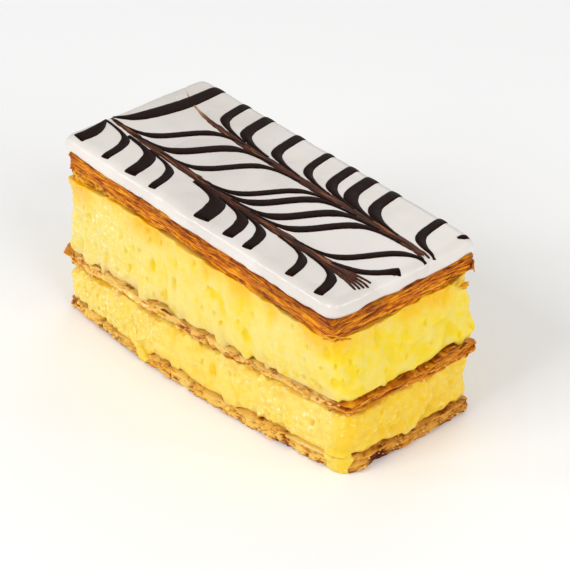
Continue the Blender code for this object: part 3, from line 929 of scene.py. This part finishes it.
def marked_bmesh(marks):
    """An empty bmesh whose points can hold these marks."""
    bm = bmesh.new()
    for title in marks:
        bm.verts.layers.float.new(title)
    return bm


def chocolate_material():
    """Set dark chocolate, thinner and browner along a line's borders."""
    material, tree, shader = new_material("dark chocolate")
    place = add(tree, "ShaderNodeTexCoord").outputs["Object"]
    from_middle = number(tree, "ABSOLUTE", number(tree, "SUBTRACT", mark(tree, "across"), 0.5))
    fringe = spread(tree, from_middle, 0.41, 0.49)
    cloudy = grain(tree, place, 500, 3.0)
    dark = blend_colours(tree, spread(tree, cloudy, 0.4, 0.75), shade(20, 6, 2), shade(40, 15, 6))
    colour = blend_colours(tree, times(tree, fringe, 0.85), dark, shade(134, 72, 28))
    tree.links.new(colour, shader.inputs["Base Color"])
    tree.links.new(spread(tree, cloudy, 0.3, 0.7, 0.36, 0.55), shader.inputs["Roughness"])
    bumped(tree, shader, cloudy, 0.25, 0.2)
    set_shader(shader, {"Specular IOR Level": 0.06})
    return material


STRIP_MARKS = ("across", "along")
bm = marked_bmesh(STRIP_MARKS)
for order, (x_far, far_wide, x_middle, middle_wide, x_near, near_wide) in enumerate(PIPED_LINES):
    rise = LINE_HEIGHT + 0.004 * order
    lay_strip(bm, far_hook(x_far, far_wide, FAR_TURNS[order]), rise)
    lay_strip(bm, near_hook(x_near, near_wide), rise)
    lay_strip(bm, between_spines(x_middle, middle_wide), rise, blunt_start=False)
lay_strip(bm, drawn_through(LAST_LINE), LINE_HEIGHT, blunt_start=False, blunt_end=True)
lay_strip(bm, drawn_through(LAST_PRONG), LINE_HEIGHT * 0.7, blunt_start=False, blunt_end=True)
for points in (FIRST_LINE, FIRST_HOOK, CORNER_DAB):
    lay_strip(bm, drawn_through(points), LINE_HEIGHT)
bmesh.ops.recalc_face_normals(bm, faces=bm.faces)
finished("chocolate_lines", bm, chocolate_material(), "sugar", "icing")

# Skewer strokes: where the point was drawn along, chocolate and icing were combed into fine
# streaks of brown and tan. The two strokes are low ribbons that fray where the skewer left.
SPINE_HEIGHT = 0.34
SPINE_STATIONS = 160
# Breadth at places along X, from where the skewer touched down to where it left
NEAR_SPINE = [
    (-56.0, 0.8), (-50.0, 1.9), (-30.0, 2.7), (0.0, 3.0), (30.0, 3.2), (44.0, 3.9), (50.5, 4.6)
]
FAR_SPINE = [
    (-55.0, 0.5), (-43.0, 0.9), (-36.0, 1.9), (-24.0, 2.6),
    (0.0, 3.0), (30.0, 3.5), (44.0, 3.4), (54.6, 1.8),
]
# Where each bristle of the fan that ends the near stroke sets out and ends
NEAR_FAN = [
    ((46.0, -11.2), (53.8, -10.4)),
    ((46.0, -11.9), (54.6, -11.9)),
    ((46.0, -12.6), (54.2, -13.1)),
    ((46.0, -13.2), (54.0, -14.3)),
    ((46.0, -13.8), (53.6, -15.5)),
]
FAR_FAN = [((48.0, 9.1), (54.6, 9.0)), ((48.0, 8.3), (54.2, 7.2))]
BRISTLE_STATIONS = 16
BRISTLE_BREADTH = 1.05


def breadth_at(x, places):
    """The breadth of a stroke at x, between the places where it is known."""
    for (x_before, before), (x_after, after) in zip(places, places[1:]):
        if x <= x_after:
            return before + (after - before) * eased_share(x, x_before, x_after)
    return places[-1][1]


def streak_material():
    """Chocolate combed into icing: fine streaks that run along the stroke."""
    material, tree, shader = new_material("combed chocolate")
    across, along = mark(tree, "across"), mark(tree, "along")
    run = {0: times(tree, along, 0.09), 1: times(tree, across, 6.5)}
    combed = add(tree, "ShaderNodeCombineXYZ", run).outputs[0]
    inputs = {"Vector": combed, "Scale": 1.0, "Detail": 4.0}
    streaks = add(tree, "ShaderNodeTexNoise", inputs).outputs[0]
    colour = blend_colours(tree, spread(tree, streaks, 0.38, 0.5), shade(28, 9, 3), shade(72, 32, 12))
    colour = blend_colours(tree, spread(tree, streaks, 0.55, 0.64), colour, shade(156, 94, 50))
    from_middle = number(tree, "ABSOLUTE", number(tree, "SUBTRACT", across, 0.5))
    colour = blend_colours(tree, spread(tree, from_middle, 0.34, 0.44), colour, shade(34, 12, 5))
    tan_start = spread(tree, along, -35.0, -43.0)
    far_stroke = spread(tree, mark(tree, "far"), 0.4, 0.6)
    colour = blend_colours(tree, times(tree, tan_start, far_stroke), colour, shade(176, 128, 90))
    tree.links.new(colour, shader.inputs["Base Color"])
    tree.links.new(spread(tree, streaks, 0.3, 0.7, 0.32, 0.5), shader.inputs["Roughness"])
    bumped(tree, shader, streaks, 0.6, 0.3)
    set_shader(shader, {"Specular IOR Level": 0.12})
    return material


def lay_spine(bm, spine_y, places, is_far):
    """A ribbon along a skewer's stroke, frayed at its end."""
    layers = bm.verts.layers.float
    made = bmesh.ops.create_grid(bm, x_segments=SPINE_STATIONS, y_segments=12, size=0.5)["verts"]
    start_x, end_x = places[0][0], places[-1][0]
    for vert in made:
        share, across = vert.co.x + 0.5, vert.co.y + 0.5
        x = start_x + (end_x - start_x) * share
        x -= 2.6 * eased_share(share, 0.93, 1.0) * (0.5 + wave(across * 7.0, 3.0, is_far))
        breadth = breadth_at(x, places)
        ragged = min(breadth, 2.0) * 0.16 * wave(x * 0.5, across * 1.5, start_x)
        crown = math.sin(math.pi * min(max(across, 0.0), 1.0)) ** 0.5
        combed = 0.1 * wave(x * 0.08, across * 9.0, 7.0)
        ends = eased_share(min(share, 1 - share) * 100, -0.4, 1.0)
        rise = (SPINE_HEIGHT * min(breadth, 1.6) / 1.6 + combed) * crown * ends - 0.1
        vert.co = on_icing(x, spine_y(x) + breadth * (across - 0.5) + ragged, rise)
        vert[layers["across"]] = across
        vert[layers["along"]] = x
        vert[layers["far"]] = is_far
    bmesh.ops.translate(bm, verts=backed(bm, made), vec=(0, 0, -LINE_ROOT * MM))


bm = marked_bmesh((*STRIP_MARKS, "far"))
lay_spine(bm, near_spine_y, NEAR_SPINE, 0.0)
lay_spine(bm, far_spine_y, FAR_SPINE, 1.0)
for (x_from, y_from), (x_to, y_to) in NEAR_FAN + FAR_FAN:
    bristle = []
    for i in range(BRISTLE_STATIONS):
        share = i / (BRISTLE_STATIONS - 1)
        x, y = x_from + (x_to - x_from) * share, y_from + (y_to - y_from) * share
        bristle.append((x, y, BRISTLE_BREADTH - 0.35 * share))
    lay_strip(bm, bristle, SPINE_HEIGHT, blunt_start=False, blunt_end=True)
bmesh.ops.recalc_face_normals(bm, faces=bm.faces)
finished("skewer_strokes", bm, streak_material(), "sugar", "icing")

# Loose crumbs and leaves: bits that the knife broke off the sheets. They stick to the cut sides
# where they fell, crumbs on the two lower sheets and thin curled leaves on all three.
CRUMB_COUNTS = {"large": 110, "small": 360}
LEAF_COUNTS = {"bottom": 130, "middle": 150, "top": 130}
# Places along the middle sheet's upper border where it humps up dark out of the custard: X and Z
# on the long side, then Y and Z on the end
HUMPS = [
    (-40.5, 21.5), (-38.6, 21.8), (-28.8, 19.3), (-23.0, 19.4), (-10.0, 22.0), (-3.6, 19.8), (46.0, 21.5)
]
END_HUMPS = [(12.5, 25.0), (15.5, 26.0), (18.3, 26.0), (20.6, 25.0)]
# The long pointed leaf at the left end of the middle sheet, and the pale flap that hangs from the
# top sheet at the far right corner
POINTED_LEAF = (-57.0, -23.6, 17.2)
FLAP = [(55.8, 18.0, 45.0), (56.2, 19.6, 44.4), (56.0, 20.8, 43.2), (55.6, 21.6, 42.0)]
LEAF_THICKNESS = 0.16
LOOSE_LOW_Z, LOOSE_HIGH_Z = 0.6, 50.4
chance = random.Random(8)


def places_on(piece, count, fits):
    """Random points of a piece's cut sides that fit, in mm."""
    points = [v.co / MM for v in piece.data.vertices]
    fitting = [p for p in points if fits(p) and outward_at(p).length > 0]
    return [chance.choice(fitting) for _ in range(count)]


def mark_bits(bm, verts, relief, crumb, burnt_and_shaded):
    """Gives a bit the marks that its colour is read from."""
    for title, value in zip(CRUST_MARKS, (relief, crumb, burnt_and_shaded, 0.0)):
        layer = bm.verts.layers.float[title]
        for vert in verts:
            vert[layer] = value


def add_crumb(bm, place, radius, detail):
    """A rough grain, half sunk in the cut side."""
    made = bmesh.ops.create_icosphere(bm, subdivisions=detail, radius=radius * MM)["verts"]
    turn = Vector([chance.uniform(-1, 1) for _ in range(3)])
    for vert in made:
        rough = 1 + 0.5 * wave(*(vert.co / MM / radius * 1.2 + turn * 9))
        vert.co = Vector((vert.co.x * 1.25, vert.co.y, vert.co.z * 0.85)) * rough
        vert.co += (place + outward_at(place) * radius * 0.35) * MM
        vert.co.z = max(vert.co.z, 0.0)
    relief, crumb, burnt_and_shaded = chance.uniform(-0.3, 0.9), chance.uniform(0.5, 1.0), chance.uniform(0.0, 0.25)
    mark_bits(bm, made, relief, crumb, burnt_and_shaded)


def add_leaf(bm, place, length, breadth, burnt_and_shaded=0.0, pale=0.0):
    """A thin leaf lying along the cut side, tilted out of it and curled."""
    out = outward_at(place)
    along = Vector((-out.y, out.x, 0))
    made = bmesh.ops.create_grid(bm, x_segments=4, y_segments=2, size=0.5)["verts"]
    curl = chance.uniform(-0.35, 0.35)
    tilt = chance.uniform(0.2, 1.25)
    lean = chance.uniform(-0.12, 0.12)
    seed = chance.uniform(0, 50)
    for vert in made:
        u, v = vert.co.x * length, (vert.co.y + 0.15) * breadth
        v *= 1 + 0.5 * wave(u * 0.8, seed, 0)
        up = Vector((0, 0, 1)) * (v * math.sin(tilt) + lean * u + curl * (u / length) ** 2)
        vert.co = (place + along * u + out * (v * math.cos(tilt) + 0.12 * wave(u, v, seed)) + up) * MM
    thick = bmesh.ops.solidify(bm, geom=faces_of(made), thickness=LEAF_THICKNESS * MM)["geom"]
    verts = {g for g in thick if isinstance(g, bmesh.types.BMVert)} | set(made)
    for vert in verts:
        vert.co.z = max(vert.co.z, 0.0)
    mark_bits(bm, verts, chance.uniform(-0.6, 0.9) + pale, chance.uniform(0.0, 0.5) + pale, burnt_and_shaded)


def low_side(point):
    """True on the long sides and the left end, where the large crumbs stick."""
    return point.z > LOOSE_LOW_Z and point.x < 50


def sheet_side(point):
    """True on a cut side, clear of the floor and the icing."""
    return LOOSE_LOW_Z + 0.2 < point.z < LOOSE_HIGH_Z


bm = marked_bmesh(CRUST_MARKS)
for piece in (bottom_sheet, middle_sheet):
    for place in places_on(piece, CRUMB_COUNTS["large"] // 2, low_side):
        add_crumb(bm, place, chance.uniform(0.4, 0.8), 2)
    for place in places_on(piece, CRUMB_COUNTS["small"] // 2, sheet_side):
        add_crumb(bm, place, chance.uniform(0.22, 0.45), 1)
for piece, sheet in ((bottom_sheet, "bottom"), (middle_sheet, "middle")):
    for place in places_on(piece, LEAF_COUNTS[sheet], sheet_side):
        add_leaf(bm, place, chance.uniform(1.2, 3.4), chance.uniform(0.6, 1.3))
front_points = [v.co / MM for v in middle_sheet.data.vertices if v.co.y < -20 * MM]
for x_hump, z_hump in HUMPS:
    place = min(front_points, key=lambda p: (p.x - x_hump) ** 2 + (p.z - z_hump) ** 2)
    for _ in range(2):
        shift = Vector((chance.uniform(-1, 1), -0.3, chance.uniform(-0.3, 0.3)))
        add_leaf(bm, place + shift, chance.uniform(2.2, 3.6), chance.uniform(0.5, 0.9), burnt_and_shaded=0.8)
end_points = [v.co / MM for v in middle_sheet.data.vertices if v.co.x > 50 * MM]
for y_hump, z_hump in END_HUMPS:
    place = min(end_points, key=lambda p: (p.y - y_hump) ** 2 + (p.z - z_hump) ** 2)
    place = place + Vector((0.3, 0, 0))
    add_leaf(bm, place, chance.uniform(2.4, 3.6), chance.uniform(0.5, 0.8), burnt_and_shaded=0.8)
for reach in (0.0, 0.5, 1.0):
    add_leaf(bm, Vector(POINTED_LEAF) + reach * Vector((0.5, 1, 0.7)), 4.6, 2.2)
bmesh.ops.recalc_face_normals(bm, faces=bm.faces)
loose_from = ("pastry_middle", "pastry_bottom")
finished("crumbs_and_leaves", bm, middle_crust, "crust", *loose_from, smooth=False)

bm = marked_bmesh(CRUST_MARKS)
for place in places_on(top_sheet, LEAF_COUNTS["top"], sheet_side):
    add_leaf(bm, place, chance.uniform(2.0, 6.0), chance.uniform(0.35, 0.7))
for place in FLAP:
    add_leaf(bm, Vector(place), chance.uniform(2.0, 3.0), chance.uniform(1.4, 2.0), pale=0.8)
bmesh.ops.recalc_face_normals(bm, faces=bm.faces)
finished("top_sheet_leaves", bm, top_crust, "crust", "pastry_top", smooth=False)

# Run custard: what the weight pushed out over the bottom sheet ran down its cut side, in one tongue
# on the long side and as a spill that hides the sheet at the near right corner.
DRIP_TOP, DRIP_FOOT = Vector((-27.2, 0, 9.5)), Vector((-18.6, 0, 0.6))
DRIP_BREADTH = 2.3
DRIP_THICKNESS = 1.3
SPILL_CENTRE = Vector((46.0, -15.0, 0.0))
SPILL_TURN, SPILL_REACH = math.radians(-38), math.radians(24)
SPILL_HEIGHT = 8.5
SPILL_THICKNESS = 1.5
# How deep both are rooted in the side, and the marks that give them the lower custard's colours
ROOTED = 0.25
BACK_DEPTH = 1.2
POURED = {"relief": -0.2, "bubble": 0.15, "amber_shade": 0.0, "smear": 0.0, "wet_and_glints": 0.6}
OUT_OF_REACH = 40
side_skins = [skin_of(piece.data) for piece in (bottom_sheet, lower_custard)]


def on_side(start, heading):
    """The first point of the two lower layers that is met from start, in mm."""
    hits = [skin.ray_cast(start * MM, heading) for skin in side_skins]
    met = [(distance, place) for place, _, _, distance in hits if place is not None]
    return min(met)[1] / MM if met else start + heading * OUT_OF_REACH


def drip_spot(u, v):
    """Where the drip's skin lies at u across and v up it, its way out and its thickness there."""
    middle = DRIP_FOOT.lerp(DRIP_TOP, v)
    breadth = DRIP_BREADTH * (1 + 0.5 * (v - 0.5) ** 2 + 0.15 * wave(v * 4, u, 2.0))
    z = max(middle.z + u * breadth * 0.5, 0.15)
    spot = on_side(Vector((middle.x + u * breadth * 0.7, -60, z)), Vector((0, 1, 0)))
    body = math.sqrt(max(1 - u * u, 0.0))
    body *= eased_share(1 - v, -0.1, 0.35) * eased_share(v, -0.08, 0.12)
    return spot, Vector((0, -1, 0)), DRIP_THICKNESS * body - ROOTED


def spill_spot(u, v):
    """The same for the spill, which wraps round the corner."""
    reach = SPILL_REACH * (1 + 0.3 * wave(v * 3, 4.0, 1.0) + 0.25 * v)
    turn = SPILL_TURN + u * reach
    out = Vector((math.cos(turn), math.sin(turn), 0))
    z = 0.2 + (SPILL_HEIGHT - 0.2) * v
    spot = on_side(SPILL_CENTRE + out * OUT_OF_REACH + Vector((0, 0, z)), -out)
    body = math.sqrt(max(1 - abs(u) ** 3, 0.0)) * eased_share(1 - v, -0.05, 0.3)
    lumps = 0.35 * wave(u * 2.5, v * 2.5, 8.0)
    return spot, out, SPILL_THICKNESS * body + lumps * body - ROOTED


def pour(bm, spot_at, columns, rows):
    """A skin of custard laid where spot_at says, softened, and closed behind."""
    made = bmesh.ops.create_grid(bm, x_segments=columns, y_segments=rows, size=0.5)["verts"]
    for vert in made:
        spot, out, thickness = spot_at(vert.co.x * 2, vert.co.y + 0.5)
        vert.co = (spot + out * thickness) * MM
        for title, value in POURED.items():
            vert[bm.verts.layers.float[title]] = value
    for _ in range(6):
        bmesh.ops.smooth_vert(bm, verts=made, factor=0.5, use_axis_x=True, use_axis_y=True)
    for vert in backed(bm, made):
        vert.co -= outward_at(vert.co / MM) * (BACK_DEPTH * MM)


bm = marked_bmesh(CUSTARD_MARKS)
pour(bm, drip_spot, 22, 26)
pour(bm, spill_spot, 34, 26)
bmesh.ops.recalc_face_normals(bm, faces=bm.faces)
finished("run_custard", bm, custard_below, "cream", "cream_lower")

# The floor, the lights and the camera. One wide soft box stands in front and a weaker one to the
# right and behind, under a white sky. Two small low ones give the moist custard its highlights.
bm = bmesh.new()
bmesh.ops.create_grid(bm, x_segments=1, y_segments=1, size=3.0)
floor_mesh = bpy.data.meshes.new("floor")
bm.to_mesh(floor_mesh)
bm.free()
floor = in_scene("floor", floor_mesh)
floor_material, _, floor_shader = new_material("floor")
set_shader(floor_shader, {"Base Color": (0.98, 0.98, 0.98, 1.0), "Roughness": 0.7})
floor_mesh.materials.append(floor_material)


LIT_PLACE = Vector((0.0, 0.0, 0.028))


def soft_box(name, place, size, power):
    """A square lamp, this wide in metres and this strong in watts, turned to the slice."""
    light = bpy.data.lights.new(name, "AREA")
    light.shape, light.size, light.size_y, light.energy = "RECTANGLE", size, size, power
    lamp = in_scene(name, light)
    lamp.location = place
    lamp.rotation_euler = (LIT_PLACE - Vector(place)).to_track_quat("-Z", "Y").to_euler()


soft_box("key", (-0.05, -0.95, 0.75), 0.6, 6.3)
soft_box("side", (0.95, -0.1, 0.6), 0.6, 3.9)
soft_box("left sparkle", (-0.75, -0.85, 0.42), 0.22, 1.7)
soft_box("right sparkle", (0.95, 0.6, 0.38), 0.12, 1.1)
soft_box("back fill", (-0.6, 0.95, 0.7), 0.6, 1.8)
world = bpy.data.worlds.new("white studio")
world.use_nodes = True
set_shader(world.node_tree.nodes["Background"], {"Color": (1.0, 1.0, 1.0, 1.0), "Strength": 0.5})
bpy.context.scene.world = world

camera_data = bpy.data.cameras.new("camera")
camera_data.lens = 164.2
camera_data.sensor_width = 36.0
camera = in_scene("camera", camera_data)
LOOK_AT = Vector((4.26 + SHIFT_X, 3.54 + SHIFT_Y, 24.19)) * MM
AZIMUTH, ELEVATION, DISTANCE = math.radians(49.41), math.radians(33.43), 708.6 * MM
level = Vector((math.sin(AZIMUTH), -math.cos(AZIMUTH), 0)) * math.cos(ELEVATION)
back = level + Vector((0, 0, math.sin(ELEVATION)))
camera.location = LOOK_AT + back * DISTANCE
camera.rotation_euler = (-back).to_track_quat("-Z", "Y").to_euler()
bpy.context.scene.camera = camera
bpy.context.scene.view_settings.view_transform = "Standard"
